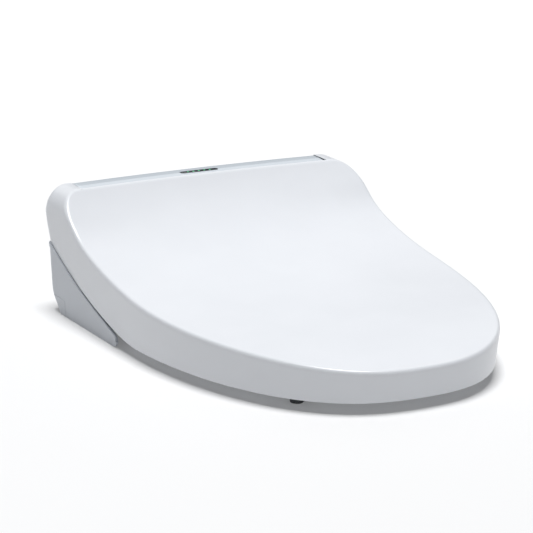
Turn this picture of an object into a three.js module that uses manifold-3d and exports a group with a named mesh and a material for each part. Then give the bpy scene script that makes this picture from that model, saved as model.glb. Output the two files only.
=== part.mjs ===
// Electric bidet seat: millimetres, +Z up, front towards -Y.
// The origin is midway between the two fixing bolts, on the underside of the mounting plate,
// so z = 0 is the rim of the toilet bowl.
import * as THREE from 'three';
import { mergeVertices } from 'three/addons/utils/BufferGeometryUtils.js';
import Module from 'manifold-3d';

const wasm = await Module();
wasm.setup();

// ---------------------------------------------------------------- driving dimensions
const GAP = 0.3; // clearance between touching pieces
const HALF = 190.5; // half width over the lid's side bands
const FRONT = -472; // foremost point of the lid
const WAIST = -175; // where the straight sides turn into the front curve
const EAR_REAR = 52.5; // back of the lid's hinge ears
const SEAM = 157; // the ears start here, beside the top cover
const AXIS = { y: 41, z: 110 }; // hinge line shared by the lid and the seat
const WALL = 3.2; // lid wall
const CREST = 142.6; // highest line of the lid
const SHOULDER = 28; // round upper corners of the lid's ears, seen from the front
const BOW = 6; // how far the rear face and the crest bow back in the middle
const BOW_AT = 155; // half width over which that bow is measured
const SWEEP = 35.3; // radius round the hinge line that the opening lid keeps clear of
const EDGE_Z = 12; // underside of the lid's skirt at the front
const CASE_HALF = 156; // half width of the case between the ears
const CASE_REAR = 58.5; // back of the case, in the middle
const CASE_FRONT = -118; // front apron of the case
const CASE_TOP = 142; // crest of the top cover, just under the lid's
const CASE_BOTTOM = 2; // underside of the case skirt
const CASE_WALL = 3;
const FLOOR_Z = 9.5; // underside of the case floor, above the mounting plate
const SPLIT_Z = 40; // where the bottom case meets the covers
const RING_HALF = 181; // half width of the seat ring
const RING_FRONT = -462;
const RING_REAR = -121.5;
const RING_BOTTOM = 10;
const HOLE = { y: -280, a: 105, b: 130, power: 2.3 }; // opening of the seat ring
const SPRAY_TILT = THREE.MathUtils.degToRad(12); // the nozzle points this far below level
const SPRAY = { y: CASE_FRONT, z: 26 }; // where the nozzle's axis leaves the case
const RACK_PITCH = Math.PI; // module 1
const RACK_LINE = 7.6; // pitch line of the rack above the wand's axis
const GEAR_TEETH = 16;
const BOLT_X = 70; // fixing bolts are 140 mm apart
const INLET = { x: -127, z: 28, radius: 7 }; // water inlet in the rear of the case
const CORD = { x: 127, z: 26, radius: 5.6 }; // cord gland in the rear of the case

// ---------------------------------------------------------------- materials
function paint(color, roughness, metalness = 0) {
  return new THREE.MeshStandardMaterial({ color, roughness, metalness });
}
const LOOK = {
  gloss: paint(0xf3f5f9, 0.15),
  case: paint(0xdfe4ea, 0.3),
  cover: paint(0xcfd9e2, 0.22),
  inner: paint(0xb9bec4, 0.6),
  dark: paint(0x2c3236, 0.45),
  rubber: paint(0x55585c, 0.9),
  steel: paint(0xb8bcc0, 0.35, 1),
  brass: paint(0xb08d4a, 0.35, 1),
  board: paint(0x1f6b46, 0.55),
  carbon: paint(0x26282a, 0.95),
  foil: paint(0xd9a441, 0.5, 0.6),
  window: paint(0x3c4852, 0.12),
};

// ---------------------------------------------------------------- solids
function toSolid(geometry) {
  const bare = geometry.clone();
  bare.deleteAttribute('normal');
  bare.deleteAttribute('uv');
  const merged = mergeVertices(bare, 1e-4);
  return new wasm.Manifold(new wasm.Mesh({
    numProp: 3,
    vertProperties: new Float32Array(merged.attributes.position.array),
    triVerts: new Uint32Array(merged.index.array),
  }));
}

function toGeometry(solid) {
  const mesh = solid.getMesh();
  const geometry = new THREE.BufferGeometry();
  geometry.setAttribute('position', new THREE.BufferAttribute(new Float32Array(mesh.vertProperties), 3));
  geometry.setIndex(new THREE.BufferAttribute(new Uint32Array(mesh.triVerts), 1));
  geometry.computeVertexNormals();
  return geometry;
}

function box(x0, x1, y0, y1, z0, z1) {
  const geometry = new THREE.BoxGeometry(x1 - x0, y1 - y0, z1 - z0);
  geometry.translate((x0 + x1) / 2, (y0 + y1) / 2, (z0 + z1) / 2);
  return toSolid(geometry);
}

// A cylinder between two points, each given as [x, y, z].
function rod(from, to, radius, sides = 24, radiusTo = radius) {
  const a = new THREE.Vector3(...from);
  const b = new THREE.Vector3(...to);
  const geometry = new THREE.CylinderGeometry(radiusTo, radius, a.distanceTo(b), sides);
  const up = new THREE.Vector3(0, 1, 0);
  geometry.applyQuaternion(new THREE.Quaternion().setFromUnitVectors(up, b.clone().sub(a).normalize()));
  geometry.translate((a.x + b.x) / 2, (a.y + b.y) / 2, (a.z + b.z) / 2);
  return toSolid(geometry);
}

// A side profile of [y, z] points pulled along X. More steps let it bend afterwards.
function alongX(points, x0, x1, steps = 1) {
  const shape = new THREE.Shape(points.map(([y, z]) => new THREE.Vector2(y, z)));
  const geometry = new THREE.ExtrudeGeometry(shape, { depth: x1 - x0, steps, bevelEnabled: false });
  const cycle = new THREE.Matrix4().set(0, 0, 1, x0, 1, 0, 0, 0, 0, 1, 0, 0, 0, 0, 0, 1);
  geometry.applyMatrix4(cycle);
  return toSolid(geometry);
}

// A plan of [x, y] points pulled up from z0 to z1.
function upwards(points, z0, z1) {
  const shape = new THREE.Shape(points.map(([x, y]) => new THREE.Vector2(x, y)));
  const geometry = new THREE.ExtrudeGeometry(shape, { depth: z1 - z0, bevelEnabled: false });
  geometry.translate(0, 0, z0);
  return toSolid(geometry);
}

// The points of a rectangle with round corners, in any plane.
function roundRect(u0, u1, v0, v1, radius, arcSteps = 5) {
  const points = [];
  const corners = [[u1 - radius, v0 + radius, -90], [u1 - radius, v1 - radius, 0],
    [u0 + radius, v1 - radius, 90], [u0 + radius, v0 + radius, 180]];
  for (const [cu, cv, start] of corners) {
    for (let i = 0; i <= arcSteps; i += 1) {
      const angle = THREE.MathUtils.degToRad(start + (90 * i) / arcSteps);
      points.push([cu + radius * Math.cos(angle), cv + radius * Math.sin(angle)]);
    }
  }
  return points;
}

function arc(cy, cz, radius, fromDeg, toDeg, steps) {
  return Array.from({ length: steps + 1 }, (_, i) => {
    const angle = THREE.MathUtils.degToRad(fromDeg + ((toDeg - fromDeg) * i) / steps);
    return [cy + radius * Math.cos(angle), cz + radius * Math.sin(angle)];
  });
}

// A closed skin through rings of equal length. The first and last ring close onto themselves.
function skin(rings, closeRound = false) {
  const positions = [];
  const n = rings[0].length;
  const quad = (a, b, c, d) => {
    positions.push(...a, ...b, ...c, ...a, ...c, ...d);
  };
  const last = closeRound ? rings.length : rings.length - 1;
  for (let k = 0; k < last; k += 1) {
    const low = rings[k];
    const high = rings[(k + 1) % rings.length];
    for (let i = 0; i < n; i += 1) {
      const j = (i + 1) % n;
      quad(low[i], low[j], high[j], high[i]);
    }
  }
  const geometry = new THREE.BufferGeometry();
  geometry.setAttribute('position', new THREE.BufferAttribute(new Float32Array(positions), 3));
  const merged = mergeVertices(geometry, 1e-4);
  const kept = [];
  const index = merged.index.array;
  for (let t = 0; t < index.length; t += 3) {
    const [a, b, c] = [index[t], index[t + 1], index[t + 2]];
    if (a !== b && b !== c && a !== c) kept.push(a, b, c);
  }
  return new wasm.Manifold(new wasm.Mesh({
    numProp: 3,
    vertProperties: new Float32Array(merged.attributes.position.array),
    triVerts: new Uint32Array(kept),
  }));
}

const mirrorX = (solid) => solid.mirror([1, 0, 0]);

// ---------------------------------------------------------------- shared surfaces
const smooth = (t) => {
  const s = Math.min(1, Math.max(0, t));
  return s * s * (3 - 2 * s);
};

// How much of the rearward bow is felt at this y: all of it at the crest, none on the flat lid.
const bowShare = (y) => smooth((y + 60) / 50);

// Moves a straight piece forwards towards the sides, so that its middle bows back.
const bowed = (solid) => solid.warp((p) => {
  p[1] -= BOW * (p[0] / BOW_AT) ** 2 * bowShare(p[1]);
});

// Height of the lid over its middle line: a long flat, a steep rise to the crest, a soft nose.
function middleHeight(y) {
  const rise = 59.6 * Math.exp(Math.min(y, 24) / 93.5);
  const nose = 11.1 * Math.exp(-(y - FRONT) / 70.7);
  return Math.min(CREST, 65.7 + 0.0213 * y + rise - nose);
}

function lidHeight(x, y) {
  const straightY = y + BOW * (x / BOW_AT) ** 2 * bowShare(y);
  return middleHeight(straightY) - 3 * (x / HALF) ** 2 * (1 - bowShare(y - 20));
}

// Right half of the lid's plan, from the nose round to the middle of the back.
function halfPlan() {
  const points = [];
  const frontSteps = 16;
  for (let i = 0; i < frontSteps; i += 1) {
    const t = (Math.PI / 2) * (1 - i / frontSteps);
    points.push([HALF * Math.cos(t) ** 0.8, WAIST + (FRONT - WAIST) * Math.sin(t) ** 1.05]);
  }
  for (const y of [WAIST, -140, -108, -80, -58, -42, -28, -16, -6, 2, 9.5, 18, 27, 34, 42]) points.push([HALF, y]);
  const corner = 4;
  for (const deg of [0, 22, 45, 68, 90]) {
    const angle = THREE.MathUtils.degToRad(deg);
    points.push([HALF - corner + corner * Math.cos(angle), EAR_REAR - corner + corner * Math.sin(angle)]);
  }
  for (const x of [SEAM, 80, 0]) points.push([x, EAR_REAR]);
  return points;
}

// The whole plan, anticlockwise from above, moved inwards by a distance at each point.
function plan(inset = () => 0) {
  const right = halfPlan();
  const loop = [...right, ...right.slice(1, -1).reverse().map(([x, y]) => [-x, y])];
  return loop.map(([x, y], i) => {
    const [px, py] = loop[(i + loop.length - 1) % loop.length];
    const [qx, qy] = loop[(i + 1) % loop.length];
    const length = Math.hypot(qx - px, qy - py);
    const d = inset(x, y);
    const offX = Math.abs(x) < 1e-6 ? 0 : (-(qy - py) / length) * d;
    return [x + offX, y + ((qx - px) / length) * d];
  });
}

const LID_ROUND = 5; // edge round between the lid's top and its side band
const DRAFT = 4; // the side band leans in by this much at its lower edge

// The lid's outer form (inset 0) or the space inside it (inset = wall), open-ended downwards.
function lidForm(inset) {
  const deep = -20;
  const radius = Math.max(2, LID_ROUND - inset);
  const brow = plan(() => inset + radius);
  const top = (x, y) => lidHeight(x, y) - inset;
  const spine = ([, y]) => [0, Math.min(40, Math.max(FRONT + 150, y))];
  // rows of points run across the lid and bow back in the middle, as the crest does
  const ring = (share) => brow.map(([x, y]) => {
    const [, sy] = spine([x, y]);
    const back = BOW * (HALF / BOW_AT) ** 2 * bowShare(Math.min(y, 40)) * (1 - share ** 2);
    const p = [x * share, Math.min(EAR_REAR - inset, sy + (y - sy) * share + back)];
    return [...p, top(...p)];
  });
  const rings = [0, 0.35, 0.65, 0.85, 1].map(ring);
  for (const deg of [30, 60, 90]) {
    const angle = THREE.MathUtils.degToRad(deg);
    const edge = plan(() => inset + radius * (1 - Math.sin(angle)));
    rings.push(edge.map(([x, y], i) => {
      return [x, y, top(...brow[i]) - radius * (1 - Math.cos(angle))];
    }));
  }
  const foot = plan((x, y) => {
    const high = lidHeight(x, y);
    return inset + (DRAFT * (high - deep)) / (high - EDGE_Z);
  });
  rings.push(foot.map(([x, y]) => [x, y, deep]));
  rings.push(foot.map(([x, y]) => [...spine([x, y]), deep]));
  return skin(rings.reverse());
}

// Side profile that trims the lid: its lower edge, and the back of the ears.
const LOWER_EDGE = [[-172, EDGE_Z], [-150, 14.5], [-118, 21.2], [-82, 31], [-44, 43.5], [-7, 58.8], [15, 69.5], [38, 81.7]];
function lidTrim(inset) {
  const edge = inset > 0 ? [[-600, -40], [20, -40], [42, 70]] : [[-600, EDGE_Z], ...LOWER_EDGE, [43, 84.5]];
  const round = 4;
  return alongX([
    ...edge,
    [47 - inset, 94],
    [50.5 - inset, 103],
    [EAR_REAR - inset, 113],
    ...arc(EAR_REAR - round, CREST - round, round - inset, 0, 90, 4),
    [-600, CREST - inset],
  ], -200, 200);
}

// Front profile that rounds the upper corners of the ears, the same all the way back.
function shoulders(inset) {
  const half = HALF - inset;
  const outline = roundRect(-half, half, -60, CREST - inset, SHOULDER - inset, 10);
  return upwards(outline, -100, 500).rotate([90, 0, 0]);
}

const lidSpace = (inset) => lidForm(inset).intersect(lidTrim(inset)).intersect(shoulders(inset));

// ---------------------------------------------------------------- lid
function makeLid() {
  let lid = lidSpace(0).subtract(lidSpace(WALL));
  // between the ears the lid ends at a lip in front of the top cover
  const notch = bowed(alongX([[25, 60], [90, 60], [90, 170], [25, 170]], -SEAM - 0.6, SEAM + 0.6, 12));
  const sweep = bowed(alongX(arc(AXIS.y, AXIS.z, SWEEP, 0, 350, 35), -SEAM - 0.6, SEAM + 0.6, 12));
  lid = lid.subtract(notch).subtract(sweep);
  for (const side of [-1, 1]) {
    const inner = side * (SEAM - 5);
    const outer = side * 178;
    const [x0, x1] = [Math.min(inner, outer), Math.max(inner, outer)];
    // the back of each ear is open beside the cheek, so that the seat's arm can pass
    lid = lid.subtract(box(x0, x1, 28, 70, 60, 123));
    lid = lid.add(rod([side * 178.5, AXIS.y, AXIS.z], [side * 188.5, AXIS.y, AXIS.z], 8, 28));
    lid = lid.subtract(rod([side * 170, AXIS.y, AXIS.z], [side * 186.5, AXIS.y, AXIS.z], 4.4, 24));
  }
  return lid;
}

function lidBumper(x, y) {
  const foot = ringTop(x, y) + 0.6;
  return rod([x, y, foot], [x, y, 70], 6, 20).intersect(lidSpace(WALL + GAP));
}

// ---------------------------------------------------------------- seat
// Outer edge of the seat ring, from the nose round, and the matching points of its opening.
function ringLoops() {
  const right = [];
  for (let i = 0; i < 16; i += 1) {
    const t = (Math.PI / 2) * (1 - i / 16);
    right.push([RING_HALF * Math.cos(t) ** 0.8, WAIST + (RING_FRONT - WAIST) * Math.sin(t) ** 1.05]);
  }
  const corner = 20;
  for (const y of [WAIST, -158]) right.push([RING_HALF, y]);
  for (const deg of [0, 30, 60, 90]) {
    const angle = THREE.MathUtils.degToRad(deg);
    right.push([RING_HALF - corner + corner * Math.cos(angle), RING_REAR - corner + corner * Math.sin(angle)]);
  }
  for (const x of [135, 105, 80, 55, 28, 0]) right.push([x, RING_REAR]);
  const outer = [...right, ...right.slice(1, -1).reverse().map(([x, y]) => [-x, y])];
  const inner = outer.map(([x, y]) => {
    const angle = Math.atan2(y - HOLE.y, x);
    const u = Math.abs(Math.cos(angle) / HOLE.a) ** HOLE.power;
    const v = Math.abs(Math.sin(angle) / HOLE.b) ** HOLE.power;
    const radius = (u + v) ** (-1 / HOLE.power);
    return [radius * Math.cos(angle), HOLE.y + radius * Math.sin(angle)];
  });
  return { outer, inner };
}

// The bridge behind the opening is thin, to leave the spray room underneath.
const bridgeLift = (x, y) => 16 * smooth((y + 178) / 40) * smooth((135 - Math.abs(x)) / 40);
const ringRise = (y) => 4 * smooth((y - FRONT) / 330);

// A closed ring with a section of [share, z] points; share runs from the outer edge to the opening.
function ringSolid(section, lift = () => 0) {
  const { outer, inner } = ringLoops();
  const rings = section.map(([share, z, inset = 0]) => outer.map(([x, y], i) => {
    const [ix, iy] = inner[i];
    const width = Math.hypot(ix - x, iy - y);
    const s = share + inset / width;
    const p = [x + (ix - x) * s, y + (iy - y) * s];
    return [...p, z + lift(...p, z)];
  }));
  return skin(rings, true);
}

const TOP_SECTION = [[0, 24], [0.03, 30], [0.12, 35], [0.28, 38], [0.5, 38.4], [0.75, 35.5], [0.93, 30.5], [1, 24]];
const lifted = (x, y, z) => {
  const share = Math.min(1, Math.max(0, (z - 14) / 24.4));
  return share * ringRise(y) + (1 - share) * bridgeLift(x, y);
};

// Height of the seat's top surface near the middle of its ring.
const ringTop = (x, y) => 38.4 + ringRise(y);

const RING_WALL = 3;

function seatUpper() {
  const skirt = 14.2;
  const inside = TOP_SECTION.map(([s, z]) => [s, z - RING_WALL, RING_WALL * (1 - 2 * s)]);
  const section = [
    [0, skirt], ...TOP_SECTION, [1, skirt],
    [1, skirt, -RING_WALL], ...inside.reverse(), [0, skirt, RING_WALL],
  ];
  let shell = ringSolid(section, lifted);
  for (const side of [-1, 1]) shell = shell.add(seatArm(side));
  return shell.subtract(sprayNotch());
}

// The nozzle comes through under the middle of the bridge.
const sprayNotch = () => box(-11, 11, -175, RING_REAR + 5, 0, 34.5);

// An arm from the ring's rear corner up to the hinge line.
function seatArm(side) {
  const beam = alongX([
    [-150, 20], [-135, 19], [-118, 25], [-82, 36], [-44, 49], [-7, 64.5], [15, 76], [30, 88], [40, 100],
    [46, 112], [36, 117], [10, 103], [-20, 85], [-60, 67], [-100, 54], [-126, 45], [-150, 37],
  ], 160, 176);
  let arm = beam.add(rod([160, AXIS.y, AXIS.z], [176, AXIS.y, AXIS.z], 8, 28));
  arm = arm.subtract(rod([150, AXIS.y, AXIS.z], [190, AXIS.y, AXIS.z], 4.4, 24));
  return side > 0 ? arm : mirrorX(arm);
}

function seatLower() {
  const plate = [[0, 10], [0, 13.8], [0, 13.8, RING_WALL], [1, 13.8, -RING_WALL], [1, 13.8], [1, 10]];
  const shell = ringSolid(plate, lifted);
  return shell.subtract(sprayNotch());
}

function seatHeater() {
  const drop = RING_WALL + 0.5;
  const under = [3, 4, 5].map((i) => TOP_SECTION[i]).map(([s, z]) => [s, z - drop, RING_WALL * (1 - 2 * s)]);
  const section = [...under, ...under.map(([s, z, d]) => [s, z - 0.8, d]).reverse()];
  return ringSolid(section, lifted);
}

function seatBumper(x, y, angle) {
  const pad = upwards(roundRect(-13, 13, -7, 7, 6), 0, RING_BOTTOM - GAP);
  return pad.rotate([0, 0, angle]).translate([x, y, 0]);
}

// ---------------------------------------------------------------- main unit
// Side profile of the case on its middle line; inset gives the space inside.
function caseProfile(inset) {
  const rear = CASE_REAR - inset;
  const round = 4.5;
  return [
    [CASE_FRONT + inset, inset > 0 ? FLOOR_Z + inset : CASE_BOTTOM],
    [rear, inset > 0 ? FLOOR_Z + inset : CASE_BOTTOM],
    ...arc(CASE_REAR - round, CASE_TOP - round, round - inset, 0, 90, 4),
    [40, CASE_TOP - inset],
    [26.2 + inset * 0.6, 141 - inset],
    ...arc(AXIS.y, AXIS.z, 34.4 - inset, 116, 154, 4),
    [4 + inset * 0.5, 118.5 - inset],
    [-19 + inset * 0.5, 104 - inset],
    [-48 + inset * 0.5, 90.5 - inset],
    [-80 + inset * 0.6, 77 - inset],
    [-103 + inset * 0.8, 62.5 - inset * 0.8],
    [CASE_FRONT + inset, 42 - inset * 0.3],
  ];
}

function caseShell() {
  const outer = bowed(alongX(caseProfile(0), -CASE_HALF, CASE_HALF, 12));
  const inside = CASE_HALF - CASE_WALL;
  let shell = outer.subtract(bowed(alongX(caseProfile(CASE_WALL), -inside, inside, 12)));
  // the underside is hollow and open to the rear, so that the case slides over its plate
  shell = shell.subtract(box(-148, 148, -108, 90, -5, FLOOR_Z));
  shell = shell.subtract(sprayTunnel(8, 60)).subtract(sprayBox(-3.8, 3.8, -8, 20, 0, RACK_LINE + 2));
  shell = shell.subtract(box(42, 78, -130, -100, 11, 24));
  shell = shell.subtract(rod([INLET.x, 40, INLET.z], [INLET.x, 70, INLET.z], INLET.radius + GAP, 28));
  return shell.subtract(rod([CORD.x, 40, CORD.z], [CORD.x, 70, CORD.z], CORD.radius + GAP, 24));
}

// A straight run along the nozzle's axis, from inside the case out through its apron.
function sprayPoint(distance, offset = 0, x = 0) {
  const [c, s] = [Math.cos(SPRAY_TILT), Math.sin(SPRAY_TILT)];
  return [x, SPRAY.y - distance * c - offset * s, SPRAY.z - distance * s + offset * c];
}

function sprayTunnel(radius, depth) {
  return rod(sprayPoint(20), sprayPoint(-depth), radius, 28);
}

// A box laid along the nozzle's axis: along from a to b, offset up from c to d.
function sprayBox(x0, x1, a, b, c, d) {
  const laid = box(x0, x1, -b, -a, c, d).rotate([THREE.MathUtils.radToDeg(SPRAY_TILT), 0, 0]);
  return laid.translate([0, SPRAY.y, SPRAY.z]);
}

const SHELL = caseShell();
const REAR_PANEL = { half: 118, z0: SPLIT_Z + GAP, z1: 112, y: 38 };

function bottomCase() {
  return SHELL.intersect(box(-200, 200, -200, 200, -10, SPLIT_Z));
}

function rearCover() {
  const { half, z0, z1, y } = REAR_PANEL;
  let panel = SHELL.intersect(box(-half, half, y, 100, z0, z1));
  for (let i = 0; i < 9; i += 1) {
    const x = 34 + i * 7;
    panel = panel.subtract(box(x, x + 3.4, y, 100, 70, 96));
  }
  return panel;
}

function topCover() {
  const { half, z1, y } = REAR_PANEL;
  let cover = SHELL.intersect(box(-200, 200, -200, 200, SPLIT_Z + GAP, 200));
  cover = cover.subtract(box(-half - GAP, half + GAP, y - 4, 100, 20, z1 + GAP));
  cover = cover.subtract(rod([-200, AXIS.y, AXIS.z], [200, AXIS.y, AXIS.z], 4.6, 24));
  return cover.subtract(box(-24.3, 24.3, 35.7, 44.3, 140.3, 150));
}

const PANEL_TOP = [[-118, 18.2], [-82, 29], [-44, 41.9], [-7, 57.5], [15, 68.3], [36, 80]];

// One side of the unit below the lid's edge: outer wall, rear corner, sloping top and round nose.
function sidePanel(side) {
  const form = (d) => {
    const wedge = alongX([
      [22 - d, -d * 4],
      [-119 + d, -d * 4],
      ...arc(-126, 8.5, 8.5 - d * 0.8, 250, 130, 6),
      ...PANEL_TOP.map(([y, z]) => [y, z - d]),
      [46 - d, 80 - d],
      ...arc(26, 30, 20 - d, 0, -65, 5),
    ], SEAM + 0.3 - d * 3, 200);
    const corner = upwards(roundRect(130, HALF - d, -160 + d, 46 - d, 12 - d * 0.6), -30, 120);
    return wedge.intersect(corner);
  };
  const lean = (solid) => solid.warp((p) => {
    p[0] -= Math.max(0, p[0] - 170) / 20 * Math.max(0, 80 - p[2]) * 0.045;
  });
  // in front of the arm's slot only the outer wall goes on, beside the seat ring
  const ringRoom = box(150, 183.8, -200, -119.8, -10, 60);
  let panel = lean(form(0).subtract(form(CASE_WALL)).subtract(ringRoom));
  if (side < 0) {
    panel = panel.subtract(drainHatch());
    return mirrorX(panel);
  }
  panel = panel.subtract(box(180, 200, -62.5, -23.5, 5.5, 24.5));
  panel = panel.subtract(box(180, 200, 4.5, 21.5, 10.5, 19.5));
  return panel.subtract(rod([180, 20, 52], [200, 20, 52], 7.5, 28));
}

// The service hatch at the rear of the left panel, drawn on the right and mirrored.
function drainHatch() {
  return alongX([[60, -2], [3, -2], ...arc(8, 15, 5, 180, 90, 4), [60, 20]].reverse(), 181, 200);
}

function drainCover() {
  const wedge = alongX([
    [22, 0.6], [3.3, 0.6], ...arc(8.3, 14.7, 5, 180, 90, 4), [43, 19.7], ...arc(26, 30, 20, -31, -65, 4),
  ], 183.5, 200);
  const corner = upwards(roundRect(130, HALF, -160, 46, 12), -30, 120);
  const inner = upwards(roundRect(130, HALF - CASE_WALL, -160, 43, 10.2), 4, 16.5);
  const cover = wedge.intersect(corner).subtract(inner.intersect(box(100, 200, 6.5, 60, 4, 16.5)));
  return mirrorX(cover.warp((p) => {
    p[0] -= Math.max(0, p[0] - 170) / 20 * Math.max(0, 80 - p[2]) * 0.045;
  }));
}

function hingePin(side) {
  return rod([side * 110, AXIS.y, AXIS.z], [side * 186, AXIS.y, AXIS.z], 4, 24);
}

function damper(x0, x1) {
  const body = rod([x0, AXIS.y, AXIS.z], [x1, AXIS.y, AXIS.z], 7.5, 28);
  const lug = box(x0 + 4, x1 - 4, AXIS.y - 20, AXIS.y - 4, AXIS.z - 7, AXIS.z + 3);
  return body.add(lug).subtract(rod([x0 - 5, AXIS.y, AXIS.z], [x1 + 5, AXIS.y, AXIS.z], 4.3, 24));
}

// ---------------------------------------------------------------- spray nozzle
const WAND = { length: 128, radius: 6.2, travel: 85, gearAt: 30 };

function nozzleWand() {
  const body = rod(sprayPoint(-14), sprayPoint(-WAND.length), WAND.radius, 24);
  const root = sprayBox(-3, 3, -WAND.length + 1, -18, 3, RACK_LINE - 1.25);
  let wand = body.add(root);
  const foot = RACK_PITCH / 4 + 0.34;
  const crown = RACK_PITCH / 4 - 0.5;
  // the first tooth stands half a pitch ahead of the gear's axis, three more in front of it
  const first = WAND.gearAt - 2.5 * RACK_PITCH;
  for (let at = first; at < WAND.length - 2; at += RACK_PITCH) {
    const tooth = alongX([
      [at - foot, RACK_LINE - 1.6], [at + foot, RACK_LINE - 1.6],
      [at + crown, RACK_LINE + 0.9], [at - crown, RACK_LINE + 0.9],
    ], -3, 3);
    wand = wand.add(tooth.rotate([THREE.MathUtils.radToDeg(SPRAY_TILT), 0, 0])
      .translate([0, SPRAY.y, SPRAY.z]));
  }
  return wand;
}

function nozzleTip() {
  const body = rod(sprayPoint(-1.5), sprayPoint(-13.7), WAND.radius, 24);
  const nose = rod(sprayPoint(-1.5), sprayPoint(0.8), WAND.radius, 24, 4.6);
  let tip = body.add(nose);
  for (const along of [-5, -9]) {
    tip = tip.subtract(rod(sprayPoint(along, 4), sprayPoint(along, 9), 0.9, 12));
  }
  return tip;
}

function driveGear() {
  const pitch = GEAR_TEETH / 2;
  const points = [];
  const tooth = 360 / GEAR_TEETH;
  for (let i = 0; i < GEAR_TEETH; i += 1) {
    const at = i * tooth - 90;
    for (const [deg, r] of [[-7.6, pitch - 1.25], [-5.0, pitch - 0.35], [-2.4, pitch + 0.85],
      [2.4, pitch + 0.85], [5.0, pitch - 0.35], [7.6, pitch - 1.25]]) {
      const angle = THREE.MathUtils.degToRad(at + deg);
      points.push([r * Math.cos(angle), r * Math.sin(angle)]);
    }
  }
  const hub = rod([-4, 0, 0], [4, 0, 0], 4, 20);
  const gear = alongX(points, -3, 3).add(hub).subtract(rod([-9, 0, 0], [9, 0, 0], 2.2, 16));
  const turned = gear.rotate([THREE.MathUtils.radToDeg(SPRAY_TILT), 0, 0]);
  return turned.translate(sprayPoint(-WAND.gearAt, RACK_LINE + pitch));
}

function nozzleHousing() {
  const block = sprayBox(-13, 13, -WAND.length + 12, -4, -11, 12);
  const bore = rod(sprayPoint(20), sprayPoint(-WAND.length - 20), WAND.radius + 0.5, 28);
  const slot = sprayBox(-3.6, 3.6, -WAND.length - 20, 20, 0, 30);
  const well = sprayBox(-4.6, 4.6, -WAND.gearAt - 11, -WAND.gearAt + 11, 5, 30);
  return block.subtract(bore).subtract(slot).subtract(well)
    .intersect(box(-20, 20, CASE_FRONT + CASE_WALL + GAP, 60, FLOOR_Z + CASE_WALL + GAP, 120));
}

function nozzleMotor() {
  const [, y, z] = sprayPoint(-WAND.gearAt, RACK_LINE + GEAR_TEETH / 2);
  const can = rod([16, y, z], [36, y, z], 12, 28);
  const shaft = rod([-5, y, z], [17, y, z], 1.9, 16);
  return can.add(shaft);
}

// ---------------------------------------------------------------- air side
const FAN = { x0: 84, x1: 118, y: -20, z: 50 };

function blowerHousing() {
  const { x0, x1, y, z } = FAN;
  let body = rod([x0, y, z], [x1, y, z], 32, 36).add(box(x0, x1, y - 56, y - 8, z - 32, z - 8));
  body = body.subtract(rod([x0 + 2.5, y, z], [x1 - 2.5, y, z], 29.5, 36));
  body = body.subtract(box(x0 + 2.5, x1 - 2.5, y - 70, y - 8, z - 29.5, z - 10.5));
  return body.subtract(rod([x1 - 6, y, z], [x1 + 6, y, z], 17, 28));
}

function fanImpeller() {
  const { x0, y, z } = FAN;
  let wheel = rod([x0 + 5, y, z], [x0 + 7, y, z], 26, 32).add(rod([x0 + 4, y, z], [x0 + 20, y, z], 5, 20));
  const blades = 14;
  for (let i = 0; i < blades; i += 1) {
    const blade = box(x0 + 6.5, x0 + 24, -0.8, 0.8, 17, 25.5).rotate([(i * 360) / blades, 0, 0]);
    wheel = wheel.add(blade.translate([0, y, z]));
  }
  return wheel.subtract(rod([x0 - 5, y, z], [x0 + 30, y, z], 2.3, 16));
}

function fanMotor() {
  const { x0, y, z } = FAN;
  return rod([x0 - 20, y, z], [x0 - GAP, y, z], 16, 28);
}

function fanShaft() {
  const { x0, y, z } = FAN;
  return rod([x0 + 2.5 + GAP, y, z], [x0 + 19, y, z], 2, 16);
}

function airDuct() {
  const z = [FAN.z - 32, FAN.z - 8];
  const back = FAN.y - 56 - GAP;
  const front = CASE_FRONT + CASE_WALL + GAP;
  const outer = alongX([[back, z[0]], [back, z[1]], [front, 26], [front, 13]], 60, 118);
  const inner = alongX([[back + 9, z[0] + 2], [back + 9, z[1] - 2], [front - 9, 22], [front - 9, 15]], 62, 116);
  return outer.subtract(inner);
}

function dryerFlap() {
  const y = CASE_FRONT - 1.6;
  const leaf = box(43, 77, y - 1, y + 1, 10, 22);
  return leaf.add(rod([43, y, 22.2], [77, y, 22.2], 1.2, 16));
}

// ---------------------------------------------------------------- water side and electrics
function heaterTank() {
  const body = upwards(roundRect(-138, -62, -62, 28, 12), 14, 72);
  const neck = rod([-120, 10, 70], [-120, 10, 84], 6, 20).add(rod([-80, 10, 70], [-80, 10, 84], 6, 20));
  return body.add(neck);
}

function waterPump() {
  return rod([-46, -30, 30], [-46, 16, 30], 13, 28).add(box(-56, -36, 12, 32, 20, 40));
}

function solenoidValve() {
  return box(-146, -108, 31, 40, 18, 42).add(rod([-127, 36, 41], [-127, 36, 62], 7, 24));
}

function waterInlet() {
  const { x, z, radius } = INLET;
  const barrel = rod([x, 40.4, z], [x, 58, z], radius, 28);
  return barrel.subtract(rod([x, 44, z], [x, 60, z], radius - 2.4, 24));
}

function cordGland() {
  const { x, z, radius } = CORD;
  const barrel = rod([x, 40, z], [x, 57.5, z], radius, 24);
  return barrel.subtract(rod([x, 38, z], [x, 60, z], radius - 2.2, 20));
}

function drainPlug() {
  const knob = rod([-182, 22, 11], [-168, 22, 11], 4.8, 12);
  return knob.subtract(box(-190, -180, 21, 23, 4, 20));
}

function controlBoard() {
  let board = box(64, 140, -14, 36, 88, 89.6);
  for (const [x, y, w, h] of [[80, 4, 12, 12], [104, -2, 18, 9], [124, 16, 9, 14], [96, 22, 14, 12]]) {
    board = board.add(box(x - w / 2, x + w / 2, y - h / 2, y + h / 2, 89, 95 - h / 6));
  }
  return board;
}

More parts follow.
